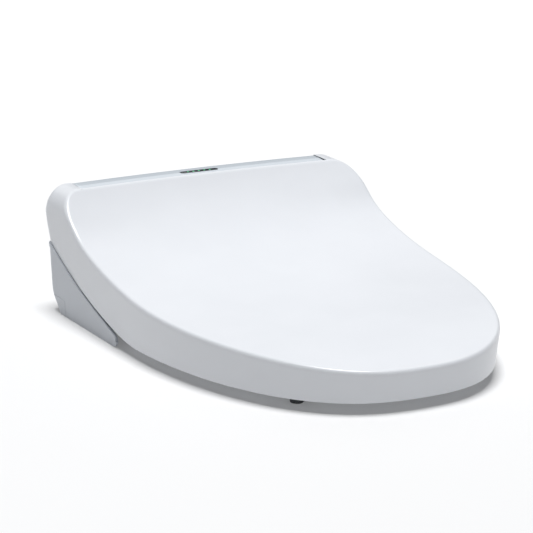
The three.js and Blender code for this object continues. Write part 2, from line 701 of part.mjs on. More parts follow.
// ---------------------------------------------------------------- mounting plate
function basePlate() {
  const outline = roundRect(-95, 95, -26, 34, 10);
  let plate = upwards(outline, 2 + GAP, 5.5);
  for (const side of [-1, 1]) {
    const slot = roundRect(side * BOLT_X - 8, side * BOLT_X + 8, -18, 18, 7.9, 6);
    plate = plate.subtract(upwards(slot, -5, 20));
  }
  for (const x of [-88, 80]) plate = plate.add(box(x, x + 8, -20, 28, 5, 7.6));
  return plate;
}

function basePad() {
  let pad = upwards(roundRect(-95, 95, -26, 34, 10), 0, 2);
  for (const side of [-1, 1]) {
    pad = pad.subtract(upwards(roundRect(side * BOLT_X - 8, side * BOLT_X + 8, -18, 18, 7.9, 6), -5, 20));
  }
  return pad;
}

function boltGuide(side) {
  const x = side * BOLT_X;
  const sleeve = upwards(roundRect(x - 7.2, x + 7.2, -9, 9, 6.5, 6), 3, 6);
  const collar = upwards(roundRect(x - 9.6, x + 9.6, -12, 12, 5), 5.8, 7.4);
  return sleeve.add(collar).subtract(rod([x, 0, -5], [x, 0, 20], 4.2, 24));
}

// ---------------------------------------------------------------- small fittings
// A small tray that carries the filter behind the right panel.
function filterDrawer() {
  const face = box(184, 188.4, -62, -24, 6, 24);
  const tray = box(161, 184.5, -61, -25, 7, 23).subtract(box(163.5, 184.3, -59.4, -26.6, 8.9, 40));
  return face.add(tray);
}

function releaseButton() {
  return box(176, 189, 5, 21, 11, 19).add(box(174, 179, 3, 23, 9, 21));
}

// ---------------------------------------------------------------- assembly
const seat = new THREE.Group();
seat.name = 'electric_bidet_seat';

function add(name, solid, look) {
  const mesh = new THREE.Mesh(toGeometry(solid), look);
  mesh.name = name;
  seat.add(mesh);
}

add('base_pad', basePad(), LOOK.rubber);
add('base_plate', basePlate(), LOOK.inner);
add('bolt_guide_left', boltGuide(-1), LOOK.dark);
add('bolt_guide_right', boltGuide(1), LOOK.dark);

add('bottom_case', bottomCase(), LOOK.case);
add('rear_cover', rearCover(), LOOK.case);
add('top_cover', topCover(), LOOK.cover);
add('display_window', upwards(roundRect(-24, 24, 36, 44, 3.9), 140.6, CASE_TOP), LOOK.window);
add('side_panel_left', sidePanel(-1), LOOK.case);
add('side_panel_right', sidePanel(1), LOOK.case);
for (const [name, x, y] of [['front_left', -126, -84], ['front_right', 126, -84],
  ['rear_left', -126, 26], ['rear_right', 126, 26]]) {
  add(`unit_foot_${name}`, rod([x, y, 0], [x, y, FLOOR_Z - GAP], 9, 24, 10), LOOK.rubber);
}
add('hinge_pin_left', hingePin(-1), LOOK.steel);
add('hinge_pin_right', hingePin(1), LOOK.steel);
add('lid_damper', damper(-130, -88), LOOK.dark);
add('seat_damper', damper(88, 130), LOOK.dark);
add('heater_tank', heaterTank(), LOOK.inner);
add('water_pump', waterPump(), LOOK.dark);
add('solenoid_valve', solenoidValve(), LOOK.inner);
add('water_inlet', waterInlet(), LOOK.brass);
add('drain_plug', drainPlug(), LOOK.dark);
add('blower_housing', blowerHousing(), LOOK.dark);
add('fan_motor', fanMotor(), LOOK.steel);
add('fan_shaft', fanShaft(), LOOK.steel);
add('air_duct', airDuct(), LOOK.inner);
add('control_board', controlBoard(), LOOK.board);
add('cord_gland', cordGland(), LOOK.dark);
add('nozzle_housing', nozzleHousing(), LOOK.inner);
add('nozzle_motor', nozzleMotor(), LOOK.steel);

add('fan_impeller', fanImpeller(), LOOK.inner);
add('nozzle_wand', nozzleWand(), LOOK.gloss);
add('nozzle_tip', nozzleTip(), LOOK.steel);
add('drive_gear', driveGear(), LOOK.inner);
add('dryer_flap', dryerFlap(), LOOK.case);
add('drain_cover', drainCover(), LOOK.case);
add('filter_drawer', filterDrawer(), LOOK.case);
add('deodoriser_filter', box(164, 184, -59, -27, 9.2, 21), LOOK.carbon);
add('release_button', releaseButton(), LOOK.case);
add('power_button', rod([178, 20, 52], [190, 20, 52], 7, 28), LOOK.case);

add('seat_upper', seatUpper(), LOOK.gloss);
add('seat_lower', seatLower(), LOOK.case);
add('seat_heater', seatHeater(), LOOK.foil);
for (const [name, x, y, angle] of [['front_left', -98, -386, 40], ['front_right', 98, -386, -40],
  ['rear_left', -146, -215, 90], ['rear_right', 146, -215, 90]]) {
  add(`seat_bumper_${name}`, seatBumper(x, y, angle), LOOK.rubber);
}

add('lid_shell', makeLid(), LOOK.gloss);
for (const [name, x, y] of [['front_left', -98, -400], ['front_right', 98, -400],
  ['rear_left', -145, -230], ['rear_right', 145, -230]]) {
  add(`lid_bumper_${name}`, lidBumper(x, y), LOOK.rubber);
}

export default seat;
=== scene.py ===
"""Looks of the electric bidet seat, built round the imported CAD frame.

Shapes are worked out in millimetres in the CAD's own frame (+Z up, front towards -Y) and turned
into metres when a mesh is made.
"""
import math

import bmesh
import bpy
import numpy as np
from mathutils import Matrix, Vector


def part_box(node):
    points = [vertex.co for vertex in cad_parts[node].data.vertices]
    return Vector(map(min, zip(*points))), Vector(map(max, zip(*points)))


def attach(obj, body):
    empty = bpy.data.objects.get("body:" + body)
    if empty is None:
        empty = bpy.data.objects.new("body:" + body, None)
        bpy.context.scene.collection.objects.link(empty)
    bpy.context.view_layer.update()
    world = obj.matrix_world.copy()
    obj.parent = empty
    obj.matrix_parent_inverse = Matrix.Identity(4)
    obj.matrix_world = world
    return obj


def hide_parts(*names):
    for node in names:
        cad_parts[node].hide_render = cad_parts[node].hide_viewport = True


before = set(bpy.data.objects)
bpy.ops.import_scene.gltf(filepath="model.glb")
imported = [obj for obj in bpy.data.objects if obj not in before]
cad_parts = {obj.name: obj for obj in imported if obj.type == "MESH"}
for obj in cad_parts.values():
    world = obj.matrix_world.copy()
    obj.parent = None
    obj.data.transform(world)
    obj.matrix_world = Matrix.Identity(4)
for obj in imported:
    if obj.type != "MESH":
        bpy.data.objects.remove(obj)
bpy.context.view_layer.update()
MM = 0.001

# ---------------------------------------------------------------- driving dimensions, in mm
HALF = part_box("lid_shell")[1].x / MM  # half width over the lid's side bands
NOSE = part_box("lid_shell")[0].y / MM  # foremost point of the lid
EDGE_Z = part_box("lid_shell")[0].z / MM  # lower edge of the lid's skirt at the front
WAIST = -175.0  # where the straight sides turn into the front curve
SEAM = 157.5  # inner face of the lid's ears
CHEEK = 178.0  # the ear's closed outer part starts here
HINGE_Y, HINGE_Z = 41.0, 110.0
CREST = 142.6
SHOULDER = 28.0  # round upper corners of the ears, seen from the front
SHOULDER_X, SHOULDER_Z = HALF - SHOULDER, CREST - SHOULDER
EAR_BACK = [(84.5, 43.0), (94.0, 47.0), (103.0, 50.5), (113.0, 52.5), (CREST, 52.5)]  # [z, y]
BACK_ROUND, WALL_ROUND = 3.0, 9.0
LIP = 25.0  # the lid's rear lip in the middle, in front of the top cover
BOW, BOW_AT = 6.0, 155.0  # the crest and the rear face bow back by this much in the middle
DRAFT = 4.0
LID_WALL = 3.0
EDGE_ROUND = 5.0
CASE_HALF = 156.0
CASE_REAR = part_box("bottom_case")[1].y / MM
CASE_FRONT = -118.0
CASE_TOP = 142.0
SPLIT_Z = 40.3  # foot of the top cover
CASE_WALL = 2.8
PANEL_REAR = 46.0


# ---------------------------------------------------------------- mesh helpers
def smooth(t):
    s = np.clip(t, 0.0, 1.0)
    return s * s * (3 - 2 * s)


def put(name, mesh_or_bmesh, body=None, replaces=(), materials=()):
    """Makes an object of a mesh in metres, rides it on a body and gives it its materials."""
    mesh = mesh_or_bmesh
    if isinstance(mesh, bmesh.types.BMesh):
        mesh = bpy.data.meshes.new(name)
        mesh_or_bmesh.to_mesh(mesh)
        mesh_or_bmesh.free()
    obj = bpy.data.objects.new(name, mesh)
    bpy.context.scene.collection.objects.link(obj)
    for material in materials:
        mesh.materials.append(material)
    if body:
        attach(obj, body)
    if replaces:
        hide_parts(*replaces)
    return obj


def baked(obj):
    """Applies an object's modifiers to its mesh."""
    graph = bpy.context.evaluated_depsgraph_get()
    mesh = bpy.data.meshes.new_from_object(obj.evaluated_get(graph))
    old = obj.data
    obj.modifiers.clear()
    obj.data = mesh
    bpy.data.meshes.remove(old)
    return obj


def shade(obj, degrees=35):
    """Smooth shading with hard edges only where faces meet at more than this angle."""
    mesh = obj.data
    mesh.polygons.foreach_set("use_smooth", [True] * len(mesh.polygons))
    mesh.set_sharp_from_angle(angle=math.radians(degrees))
    mesh.update()
    return obj


def soften(obj, width, segments=3, degrees=40, thickness=None, group=None, even=True):
    """Gives a sheet its thickness if asked, rounds its edges and fixes both in the mesh."""
    if thickness:
        wall = obj.modifiers.new("wall", "SOLIDIFY")
        wall.thickness = thickness * MM
        wall.offset = -1
        wall.use_even_offset = even
        wall.use_quality_normals = True
        if group:
            wall.vertex_group = group
            wall.thickness_vertex_group = 0.0
    if width:
        bevel = obj.modifiers.new("round", "BEVEL")
        bevel.width = width * MM
        bevel.segments = segments
        bevel.limit_method = "ANGLE"
        bevel.angle_limit = math.radians(degrees)
        bevel.miter_outer = "MITER_ARC"
    bpy.context.view_layer.update()
    baked(obj)
    return shade(obj)


def grid_faces(rows, columns, keep=None):
    faces = []
    for i in range(rows - 1):
        for j in range(columns - 1):
            if keep is None or keep(i, j):
                a = i * columns + j
                faces.append((a, a + 1, a + columns + 1, a + columns))
    return faces


def sheet_mesh(grids, keep=None, mirror=False):
    """A bmesh of one or more rows x columns x 3 grids of points in mm, joined where they meet."""
    grids = grids if isinstance(grids, list) else [grids]
    made = bmesh.new()
    for grid in grids:
        rows, columns = grid.shape[:2]
        verts = [made.verts.new(p * MM) for p in grid.reshape(-1, 3)]
        for face in grid_faces(rows, columns, keep):
            made.faces.new([verts[n] for n in face])
    loose = [v for v in made.verts if not v.link_faces]
    bmesh.ops.delete(made, geom=loose, context="VERTS")
    if mirror:
        copy = bmesh.ops.duplicate(made, geom=list(made.verts) + list(made.faces))["geom"]
        twins = [g for g in copy if isinstance(g, bmesh.types.BMVert)]
        bmesh.ops.scale(made, vec=(-1, 1, 1), verts=twins)
        turned = [g for g in copy if isinstance(g, bmesh.types.BMFace)]
        bmesh.ops.reverse_faces(made, faces=turned)
    bmesh.ops.remove_doubles(made, verts=made.verts, dist=2e-6)
    bmesh.ops.dissolve_degenerate(made, edges=made.edges, dist=1e-6)
    return made


def rounded(points, radius, steps=6, closed=False):
    """A polyline of [u, v] points with its corners turned into smooth curves. radius may be a list."""
    points = [np.array(p, float) for p in points]
    n = len(points)
    radii = [radius] * n if np.isscalar(radius) else list(radius)
    out = []
    for i, p in enumerate(points):
        if not closed and i in (0, n - 1):
            out.append(p)
            continue
        a = points[i - 1] - p
        b = points[(i + 1) % n] - p
        la, lb = np.linalg.norm(a), np.linalg.norm(b)
        a, b = a / la, b / lb
        half = math.acos(np.clip(a @ b, -1, 1)) / 2
        cut = min(radii[i] / max(math.tan(half), 1e-6), 0.48 * la, 0.48 * lb)
        if cut < 1e-3:
            out.append(p)
            continue
        start, end = p + a * cut, p + b * cut
        for k in range(steps + 1):
            t = k / steps
            out.append((1 - t) ** 2 * start + 2 * t * (1 - t) * p + t * t * end)
    return np.array(out)


def resampled(points, step):
    """The same polyline with points at most a step apart, its own corners kept."""
    out = [points[0]]
    for a, b in zip(points[:-1], points[1:]):
        count = max(1, int(math.ceil(np.linalg.norm(b - a) / step)))
        out += [a + (b - a) * (k + 1) / count for k in range(count)]
    return np.array(out)


def arc(cy, cz, radius, start, end, steps):
    angles = np.radians(np.linspace(start, end, steps + 1))
    return [(cy + radius * math.cos(a), cz + radius * math.sin(a)) for a in angles]


def lathe(profile, start, direction, turns=48):
    """A closed body of revolution: profile is [distance along, radius], from axis to axis, in mm."""
    axis = Vector(direction).normalized()
    side = axis.orthogonal().normalized()
    other = axis.cross(side)
    grid = np.zeros((turns + 1, len(profile), 3))
    for i in range(turns + 1):
        angle = 2 * math.pi * (i % turns) / turns
        out = side * math.cos(angle) + other * math.sin(angle)
        for j, (along, radius) in enumerate(profile):
            grid[i, j] = Vector(start) + axis * along + out * radius
    made = sheet_mesh(grid)
    bmesh.ops.recalc_face_normals(made, faces=made.faces)
    return made


def pull(made, face, reach):
    """Extrudes a face of a bmesh along a vector in metres."""
    pulled = bmesh.ops.extrude_face_region(made, geom=[face])["geom"]
    verts = [g for g in pulled if isinstance(g, bmesh.types.BMVert)]
    bmesh.ops.translate(made, vec=reach, verts=verts)


def prism(outline, low, high, axis):
    """A closed prism of a 2-D outline in mm. axis "x" takes [y, z] points, "z" takes [x, y]."""
    made = bmesh.new()
    if axis == "x":
        verts = [made.verts.new((low * MM, p[0] * MM, p[1] * MM)) for p in outline]
        reach = Vector(((high - low) * MM, 0, 0))
    else:
        verts = [made.verts.new((p[0] * MM, p[1] * MM, low * MM)) for p in outline]
        reach = Vector((0, 0, (high - low) * MM))
    pull(made, made.faces.new(verts), reach)
    bmesh.ops.recalc_face_normals(made, faces=made.faces)
    return made


def cut(obj, *cutters):
    """Subtracts closed cutter meshes from an object and throws them away."""
    for number, cutter in enumerate(cutters):
        tool = put(f"cutter_{number}", cutter)
        hole = obj.modifiers.new("hole", "BOOLEAN")
        hole.operation = "DIFFERENCE"
        hole.solver = "EXACT"
        hole.object = tool
        bpy.context.view_layer.update()
        baked(obj)
        bpy.data.objects.remove(tool)
    return obj


# ---------------------------------------------------------------- materials
class Nodes:
    """A short way to write a procedural material's node tree."""

    def __init__(self, name):
        self.material = bpy.data.materials.new(name)
        self.material.use_nodes = True
        self.tree = self.material.node_tree
        self.shader = self.tree.nodes["Principled BSDF"]
        self.place = self.tree.nodes.new("ShaderNodeTexCoord").outputs["Object"]

    def noise(self, scale, detail=3.0, stretch=None):
        node = self.tree.nodes.new("ShaderNodeTexNoise")
        node.inputs["Scale"].default_value = scale
        node.inputs["Detail"].default_value = detail
        source = self.place
        if stretch:
            mapping = self.tree.nodes.new("ShaderNodeMapping")
            mapping.inputs["Scale"].default_value = stretch
            self.tree.links.new(source, mapping.inputs["Vector"])
            source = mapping.outputs["Vector"]
        self.tree.links.new(source, node.inputs["Vector"])
        return node.outputs["Fac"]

    def ramp(self, value, low, high, start=0.3, end=0.7):
        node = self.tree.nodes.new("ShaderNodeValToRGB")
        node.color_ramp.elements[0].position = start
        node.color_ramp.elements[1].position = end
        node.color_ramp.elements[0].color = (*low, 1)
        node.color_ramp.elements[1].color = (*high, 1)
        self.tree.links.new(value, node.inputs["Fac"])
        return node.outputs["Color"]

    def span(self, value, low, high):
        node = self.tree.nodes.new("ShaderNodeMapRange")
        node.inputs["To Min"].default_value = low
        node.inputs["To Max"].default_value = high
        self.tree.links.new(value, node.inputs["Value"])
        return node.outputs["Result"]

    def bump(self, value, strength, distance):
        node = self.tree.nodes.new("ShaderNodeBump")
        node.inputs["Strength"].default_value = strength
        node.inputs["Distance"].default_value = distance
        self.tree.links.new(value, node.inputs["Height"])
        self.tree.links.new(node.outputs["Normal"], self.shader.inputs["Normal"])

    def link(self, output, socket):
        self.tree.links.new(output, self.shader.inputs[socket])

    def set(self, **values):
        for socket, value in values.items():
            self.shader.inputs[socket.replace("_", " ")].default_value = value


def plastic(name, low, high, rough, coat=0.0, grain=0.0, grain_scale=900.0):
    """Moulded plastic: a faint drift of colour and gloss, and a fine grain where asked for."""
    n = Nodes(name)
    drift = n.noise(14.0)
    n.link(n.ramp(drift, low, high), "Base Color")
    n.link(n.span(n.noise(42.0, 4.0), rough[0], rough[1]), "Roughness")
    n.set(IOR=1.49, Coat_Weight=coat, Coat_Roughness=0.12, Coat_IOR=1.5)
    if grain:
        n.bump(n.noise(grain_scale, 2.0), grain, 0.00012)
    else:
        n.bump(n.noise(9.0, 1.0), 0.02, 0.0004)
    return n.material


def metal(name, low, high, rough, stretch):
    """Metal with fine machining or brushing lines along one direction."""
    n = Nodes(name)
    lines = n.noise(60.0, 6.0, stretch)
    n.link(n.ramp(lines, low, high), "Base Color")
    n.link(n.span(lines, rough[0], rough[1]), "Roughness")
    n.set(Metallic=1.0)
    n.bump(lines, 0.15, 0.00008)
    return n.material


GLOSS = plastic("gloss_white", (0.79, 0.81, 0.845), (0.81, 0.83, 0.865), (0.30, 0.36), coat=0.12)
# painted shade: the case's white plastic is given a darker, bluer colour than the lid's to stand in for the
# shade on its sides
CASE = plastic("case_white", (0.555, 0.585, 0.63), (0.565, 0.595, 0.64), (0.30, 0.32), coat=0.0)
# painted shade: the top cover's white plastic is given a darker blue grey colour to stand in for the shade
# on its slope, which faces away from the light
COVER = plastic("cover_painted_shade_grey", (0.68, 0.735, 0.79), (0.70, 0.755, 0.805), (0.16, 0.22), coat=0.2)
SEAT = plastic("seat_white", (0.80, 0.815, 0.83), (0.83, 0.84, 0.85), (0.10, 0.17), coat=0.3)
INNER = plastic("inner_grey", (0.50, 0.52, 0.54), (0.56, 0.58, 0.59), (0.40, 0.55), grain=0.25)
DARK = plastic("dark_plastic", (0.018, 0.020, 0.023), (0.032, 0.034, 0.038), (0.38, 0.55), grain=0.35)
RUBBER = plastic("soft_rubber", (0.075, 0.08, 0.085), (0.11, 0.115, 0.12), (0.72, 0.88), grain=0.5)
WINDOW = plastic("window_smoke", (0.030, 0.040, 0.050), (0.045, 0.055, 0.066), (0.04, 0.08), coat=0.8)
BOARD = plastic("board_green", (0.006, 0.085, 0.040), (0.012, 0.13, 0.06), (0.30, 0.42))
CARBON = plastic("carbon_block", (0.008, 0.008, 0.009), (0.03, 0.03, 0.032), (0.85, 0.97),
                 grain=1.0, grain_scale=420)
STEEL = metal("brushed_steel", (0.52, 0.53, 0.54), (0.68, 0.69, 0.70), (0.20, 0.36), (1, 1, 14))
BRASS = metal("turned_brass", (0.60, 0.42, 0.17), (0.74, 0.54, 0.25), (0.22, 0.36), (1, 16, 1))
FOIL = metal("heater_foil", (0.70, 0.42, 0.14), (0.80, 0.52, 0.22), (0.30, 0.45), (1, 1, 1))


def lamp_material(name, colour, strength):
    n = Nodes(name)
    n.link(n.ramp(n.noise(300.0), tuple(c * 0.8 for c in colour), colour), "Base Color")
    n.set(Emission_Color=(*colour, 1), Emission_Strength=strength, Roughness=0.2)
    return n.material


LAMP = lamp_material("indicator_lamp", (0.10, 0.55, 0.25), 0.5)


# ---------------------------------------------------------------- shared surfaces
def bow_share(y):
    """All of the bow is felt at the crest, none on the flat part of the lid."""
    return smooth((y + 60) / 50)


def bowed(grid):
    out = grid.copy()
    out[..., 1] -= BOW * (grid[..., 0] / BOW_AT) ** 2 * bow_share(grid[..., 1])
    return out


def middle_height(y):
    rise = 59.6 * np.exp(np.minimum(y, 24) / 93.5)
    nose = 11.1 * np.exp(-(y - NOSE) / 70.7)
    return np.minimum(CREST, 65.7 + 0.0213 * y + rise - nose)


def lid_height(x, y):
    straight = y + BOW * (x / BOW_AT) ** 2 * bow_share(y)
    return middle_height(straight) - 3 * (x / HALF) ** 2 * (1 - bow_share(y - 20))


LOWER_EDGE = np.array([(-172, EDGE_Z), (-150, 14.5), (-118, 21.2), (-82, 31), (-44, 43.5),
                       (-7, 58.8), (15, 69.5), (38, 81.7), (43, 84.5)], float)


def lower_edge(y):
    """Height of the lid's lower edge: level at the front, climbing to the ears."""
    fine = np.interp(y + np.linspace(-9, 9, 7), LOWER_EDGE[:, 0], LOWER_EDGE[:, 1])
    return float(fine.mean()) if y < 25 else float(np.interp(y, LOWER_EDGE[:, 0], LOWER_EDGE[:, 1]))


def front_curve(t, half, nose):
    return half * math.cos(t) ** 0.8, WAIST + (nose - WAIST) * math.sin(t) ** 1.05


# ---------------------------------------------------------------- lid
def side_point(y, a):
    """A point on the lid's side: a runs up the wall (below 0), round the shoulder, over the crest."""
    quarter = SHOULDER * math.pi / 2
    if a <= 0:
        lean = DRAFT * -a / (SHOULDER_Z - EDGE_Z)
        return np.array([HALF - lean, y, SHOULDER_Z + a])
    if a <= quarter:
        angle = a / SHOULDER
        across, up = SHOULDER * math.cos(angle), SHOULDER * math.sin(angle)
        return np.array([SHOULDER_X + across, y, SHOULDER_Z + up])
    return np.array([SHOULDER_X - (a - quarter), y, CREST])


def brow_y(x, z):
    """Where the lid's top reaches a height at this distance from the middle."""
    low, high = -150.0, 40.0
    for _ in range(40):
        middle = (low + high) / 2
        if lid_height(x, middle) < z - 1e-6:
            low = middle
        else:
            high = middle
    return low


def ear_rear(z):
    return float(np.interp(z, [p[0] for p in EAR_BACK], [p[1] for p in EAR_BACK]))


def bezier(a, p, b, steps):
    """Points after a on the round that starts at a, turns under the corner p and ends at b."""
    out = []
    for k in range(1, steps + 1):
        t = k / steps
        out.append((1 - t) ** 2 * a + 2 * t * (1 - t) * p + t * t * b)
    return out


SEAM_SHARE = SEAM / SHOULDER_X
SHARES = np.concatenate([np.linspace(0, 0.9, 34), np.linspace(0.9, SEAM_SHARE, 5)[1:],
                         [(1 + SEAM_SHARE) / 2, 1.0]])
AT_SEAM = 37  # the share that lies on the seam beside the top cover, on the crest
FILLET_STEPS, BAND_STEPS = 8, 16
CREST_Y = 23.8  # where the middle of the lid reaches its crest
NARROWING = 0.3  # share by which the lid's edge round gets smaller up to the crest
INNER_REACH = 0.75  # the round's reach over the top, as a share of its reach over the side


def bow_back(x, y):
    """How far the middle lies behind a point (x, y) of the lid."""
    return BOW * (x / BOW_AT) ** 2 * float(bow_share(y))


def top_row(x, y, spine=None):
    """A row of the lid's top from the middle out to (x, y), bowed as the crest is."""
    straight = y + bow_back(x, y)
    spine = min(40.0, max(NOSE + 150, y)) + bow_back(x, y) if spine is None else spine
    row = []
    for share in SHARES:
        px = x * share
        lag = share if y < -40 else share ** 3
        py = spine + (straight - spine) * lag - bow_back(x, y) * share * share
        row.append(np.array([px, py, float(lid_height(px, py))]))
    return row


def front_columns(last_y):
    """Columns from the nose back to where the shoulder begins, and their plan normals."""
    line = [front_curve((math.pi / 2) * (1 - i / 84), HALF, NOSE) for i in range(84)]
    line += [(HALF, y) for y in np.linspace(WAIST, last_y, 48)]
    line = np.array(line)
    ends = np.vstack([line[1] * (-1, 1), line, line[-1] + (0, 5)])
    along = ends[2:] - ends[:-2]
    inward = np.column_stack([-along[:, 1], along[:, 0]]) / np.linalg.norm(along, axis=1)[:, None]
    return line, inward


def front_grid(last_y):
    line, inward = front_columns(last_y)
    grid = []
    for (x, y), n in zip(line, inward):
        brow = np.array([x, y]) + n * EDGE_ROUND
        column = top_row(*brow)
        corner = np.array([x, y, column[-1][2]])
        column += bezier(column[-1], corner, corner - (0, 0, EDGE_ROUND), FILLET_STEPS)
        top, foot = column[-1][2], lower_edge(y)
        for k in range(1, BAND_STEPS + 1):
            z = top + (foot - top) * k / BAND_STEPS
            lean = DRAFT * (top - z) / (SHOULDER_Z - EDGE_Z) * (1 + (SHOULDER_Z - top) / (top - EDGE_Z))
            column.append(np.array([*(np.array([x, y]) + n * lean), z]))
        grid.append(column)
    return np.array(grid)


def brow_curve(steps):
    """Even steps along the edge between the lid's top and its shoulder: [a, y] pairs."""
    fine = np.linspace(0, SHOULDER * math.pi / 2, 400)
    points = []
    for a in fine:
        x, _, z = side_point(0, a)
        points.append((x, brow_y(x, min(z, CREST - 0.02)), z))
    lengths = np.concatenate([[0], np.cumsum(np.linalg.norm(np.diff(points, axis=0), axis=1))])
    at = np.linspace(0, lengths[-1], steps + 1)
    return np.column_stack([np.interp(at, lengths, fine), np.interp(at, lengths, [p[1] for p in points])])


def shoulder_grid(steps=40):
    """The corner of the lid: its top up to the crest, and the ear's shoulder back to its rear."""
    quarter = SHOULDER * math.pi / 2
    curve = brow_curve(steps)
    first, last = curve[0, 1], CREST_Y - INNER_REACH * EDGE_ROUND * (1 - NARROWING)
    start = first + bow_back(HALF - EDGE_ROUND, first)
    grid = []
    for i, (a, y) in enumerate(curve):
        x, _, z = side_point(0, a)
        turn = (math.pi / 2) * float(smooth(a / (0.8 * quarter)))
        round_off = EDGE_ROUND * (1 - NARROWING * float(smooth(a / quarter)))
        side_a, side_y = a - round_off * math.cos(turn), y + round_off * math.sin(turn)
        inner_x = x - round_off * max(0.0, math.cos(turn))
        inner_y = y - round_off * INNER_REACH * math.sin(turn)
        column = top_row(inner_x, inner_y, start + (last - start) * i / steps)
        column += bezier(column[-1], np.array([x, y, z]), side_point(side_y, side_a), FILLET_STEPS)
        rear = ear_rear(z) - back_round(x)
        for k in range(1, BAND_STEPS + 1):
            t = k / BAND_STEPS
            column.append(side_point(side_y + (rear - side_y) * t, side_a + (a - side_a) * t))
        grid.append(column)
    return np.array(grid)


def crest_grids(column):
    """The flat of the ears inside the shoulder, and the lid's narrow lip in front of the cover."""
    row, tail = column[:len(SHARES)], column[len(SHARES):]
    edge = row[-1]
    strip = []
    for point in row[AT_SEAM:]:
        shift = bow_back(edge[0], edge[1]) - bow_back(point[0], edge[1])
        line = [point]
        for k, p in enumerate(tail):
            fade = max(0.0, 1 - k / len(tail))
            line.append(np.array([point[0], p[1] + shift * fade, p[2]]))
        strip.append(line)
    strip[-1] = [edge, *tail]
    lip = []
    for point in row[:AT_SEAM + 1]:
        line = [point]
        bow = bow_back(point[0], LIP)
        corner = np.array([point[0], CREST_Y - bow, CREST])
        end = np.array([point[0], LIP - bow, CREST - 0.05])
        line += bezier(point, corner, end, 4)
        lip.append(line)
    return [np.array(strip), np.array(lip)]


def cheek_grid(front_column, shoulder_column):
    """The flat of the ear below the shoulder, between the side band and the ear's rear edge."""
    left = np.array(front_column[-BAND_STEPS - 1:])
    top = np.array(shoulder_column[-BAND_STEPS - 1:])
    rear_top, rear_foot = top[-1, 2], EAR_BACK[0][0]
    grid = np.zeros((BAND_STEPS + 1, BAND_STEPS + 1, 3))
    corner = np.array([0, EAR_BACK[0][1] - WALL_ROUND, rear_foot])
    for i in range(BAND_STEPS + 1):
        v = i / BAND_STEPS
        right_z = rear_top + (rear_foot - rear_top) * v
        right = np.array([0, ear_rear(right_z) - WALL_ROUND, right_z])
        for j in range(BAND_STEPS + 1):
            u = j / BAND_STEPS
            foot_y = left[-1, 1] + (corner[1] - left[-1, 1]) * u
            foot = np.array([0, foot_y, lower_edge(foot_y)])
            p = left[i] * (1 - u) + right * u + top[j] * (1 - v) + foot * v
            p -= (left[0] * (1 - u) * (1 - v) + top[-1] * u * (1 - v)
                  + left[-1] * (1 - u) * v + corner * u * v)
            grid[i, j] = side_point(p[1], p[2] - SHOULDER_Z) if p[2] < SHOULDER_Z else (HALF, *p[1:])
    grid[0] = top
    grid[:, 0] = left
    return grid


def back_round(x):
    """Radius of the ear's rear edge: small on the crest, larger on the wall."""
    return BACK_ROUND + (WALL_ROUND - BACK_ROUND) * float(smooth((abs(x) - SHOULDER_X) / SHOULDER))


def back_grid(shoulder, cheek):
    """The ear's round rear edge and its back face, down to the opening for the seat's arm."""
    seam = [np.array([x, *shoulder[-1, -1, 1:]]) for x in np.linspace(SEAM, SHOULDER_X, 4)[:-1]]
    rim = [*seam, *shoulder[::-1, -1], *cheek[1:, -1]]
    count = len(rim)
    grid = []
    for i, p in enumerate(rim):
        x, y, z = p
        before, after = rim[max(0, i - 1)], rim[min(count - 1, i + 1)]
        along = np.array([after[0] - before[0], after[2] - before[2]])
        along /= np.linalg.norm(along)
        inward = np.array([along[1], -along[0]])
        if inward @ (np.array([150, 90]) - (x, z)) < 0:
            inward = -inward
        row = [p]
        for k in range(1, 5):
            turn = math.radians(90 * k / 4)
            shift = back_round(x) * (1 - math.cos(turn))
            behind = y + back_round(x) * math.sin(turn)
            row.append(np.array([x + inward[0] * shift, behind, z + inward[1] * shift]))
        inner_x = min(CHEEK, x + inward[0] * back_round(x))
        blend = float(smooth((z - 112) / 12))
        inner = np.array([inner_x, 0, z * (1 - blend) + 123.0 * blend])
        last = row[-1]
        for k in range(1, 4):
            t = k / 3
            at = last + (inner - last) * t
            at[1] = ear_rear(min(at[2], CREST))
            row.append(at)
        grid.append(row)
    return np.array(grid)


def build_lid():
    start_y = brow_y(HALF - EDGE_ROUND, SHOULDER_Z)
    front = front_grid(start_y)
    shoulder = shoulder_grid()
    front[-1, :len(SHARES) + FILLET_STEPS] = shoulder[0, :len(SHARES) + FILLET_STEPS]
    cheek = cheek_grid(front[-1], shoulder[0])
    parts = [front, shoulder, cheek, back_grid(shoulder, cheek), *crest_grids(shoulder[-1])]
    made = sheet_mesh(parts, mirror=True)
    bmesh.ops.remove_doubles(made, verts=made.verts, dist=0.00012)
    bmesh.ops.recalc_face_normals(made, faces=made.faces)
    flat = min(made.faces, key=lambda f: (f.calc_center_median() - Vector((0.02, -0.3, 0.065))).length)
    if flat.normal.z < 0:
        bmesh.ops.reverse_faces(made, faces=made.faces)
    lid = put("lid", made, "lid", ["lid_shell"], [GLOSS])
    group = lid.vertex_groups.new(name="wall")
    for v in lid.data.vertices:
        x, y, z = (c / MM for c in v.co)
        straight = y + bow_back(x, y)
        near_lip = float(smooth((straight - 5) / 18)) if abs(x) < SEAM + 3 and z > 118 else 0.0
        group.add([v.index], 1 - 0.62 * near_lip, "REPLACE")
    soften(lid, 0.5, 3, 60, LID_WALL, "wall", even=False)
    return lid


def build_lid_hubs():
    """Hub on the inside of each ear, where the hinge pin enters."""
    for side, word in ((-1, "left"), (1, "right")):
        profile = [(0, 4.3), (0.0, 7.2), (0.8, 8.0), (9.5, 8.0), (9.5, 4.3), (0, 4.3)]
        hub = lathe(profile, (side * 178.6, HINGE_Y, HINGE_Z), (side, 0, 0))
        shade(put(f"lid_hub_{word}", hub, "lid", (), [GLOSS]))


